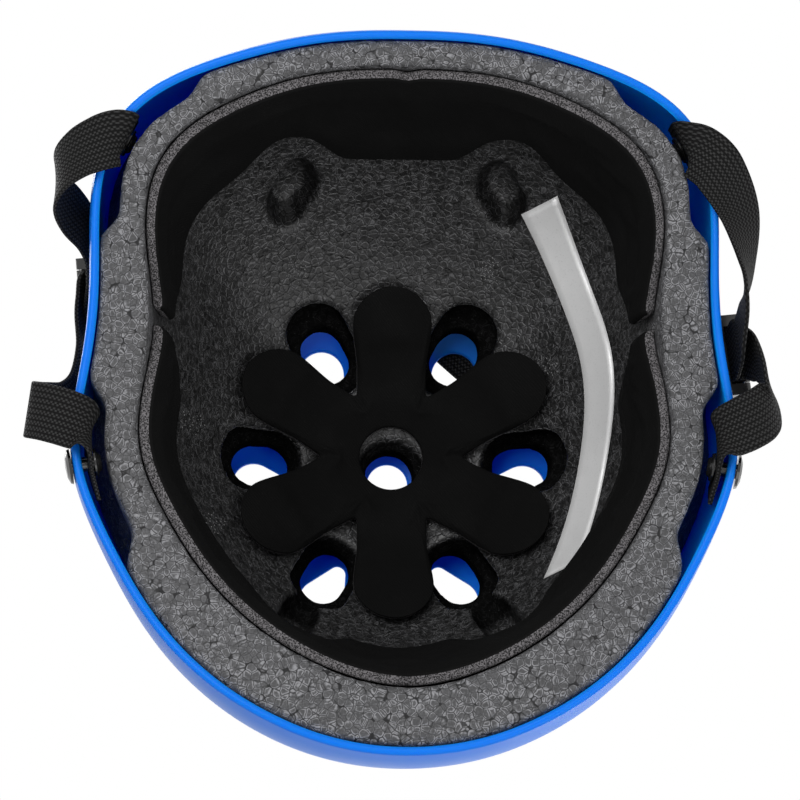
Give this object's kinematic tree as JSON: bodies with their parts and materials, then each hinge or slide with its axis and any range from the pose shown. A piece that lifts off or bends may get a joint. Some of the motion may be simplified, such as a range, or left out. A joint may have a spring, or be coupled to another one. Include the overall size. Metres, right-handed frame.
{
  "type": "skate helmet",
  "caption": "Hard-shell skate helmet with a foam liner, comfort pads, riveted webbing straps, strap dividers and a side-release buckle.",
  "frame": {"origin": "mid-length of the shell on its mid plane, at the height of the edge that the helmet rests on", "axes": "+Z to the crown, -Y to the brow, +X to the wearer's left"},
  "size_m": [0.2556, 0.2496, 0.1424],
  "materials": {
    "shell_plastic": "glossy injection-moulded plastic",
    "foam": "moulded expanded-bead foam",
    "pad_fabric": "brushed knit over foam",
    "hook_tape": "hook tape",
    "webbing": "woven webbing",
    "rivet_plastic": "glossy black plastic",
    "pin_steel": "drawn steel",
    "buckle_plastic": "fine-grained moulded plastic"
  },
  "bodies": {
    "root": {"outer_shell": "shell_plastic", "foam_liner": "foam", "front_pad": "pad_fabric", "rear_pad": "pad_fabric", "crown_pad": "pad_fabric", "pad_hook_patches": "hook_tape", "rivets": "rivet_plastic", "ring_washers": "rivet_plastic", "strap_front_left": "webbing", "strap_front_right": "webbing", "strap_rear_left": "webbing", "strap_rear_right": "webbing", "divider_base_left": "buckle_plastic", "divider_base_right": "buckle_plastic", "divider_pins": "pin_steel", "buckle_socket": "buckle_plastic"},
    "left_cover": {"divider_cover_left": "buckle_plastic"},
    "right_cover": {"divider_cover_right": "buckle_plastic"},
    "plug": {"buckle_plug": "buckle_plastic", "strap_tail": "webbing"},
    "upper_arm": {"release_arm_upper": "buckle_plastic"},
    "lower_arm": {"release_arm_lower": "buckle_plastic"}
  },
  "joints": [
    {"name": "left_cover_hinge", "type": "hinge", "parent": "root", "child": "left_cover", "pos_m": [-0.11059, -0.04014, 0.0654], "axis": [-0.0893, -0.9767, -0.1953], "range_deg": [0, 80]},
    {"name": "right_cover_hinge", "type": "hinge", "parent": "root", "child": "right_cover", "pos_m": [0.1167, -0.01709, 0.03477], "axis": [0.1284, 0.9917, 0], "range_deg": [0, 80]},
    {"name": "buckle_slide", "type": "slide", "parent": "root", "child": "plug", "axis": [0.9649, 0.0844, 0.2488], "range_m": [0, 0.022], "deforming": ["strap_front_right", "release_arm_upper", "release_arm_lower"]},
    {"name": "upper_arm_press", "type": "hinge", "parent": "plug", "child": "upper_arm", "pos_m": [-0.02937, -0.06621, 0.12887], "axis": [-0.169, -0.5254, 0.8339], "range_deg": [0, 11], "stiffness_Nm_per_rad": 0.05},
    {"name": "lower_arm_press", "type": "hinge", "parent": "plug", "child": "lower_arm", "pos_m": [-0.02623, -0.07942, 0.12118], "axis": [-0.169, -0.5254, 0.8339], "range_deg": [-11, 0], "stiffness_Nm_per_rad": 0.05}
  ],
  "couplings": [
    {"joint": "lower_arm_press", "follows": "upper_arm_press", "ratio": -1}
  ]
}
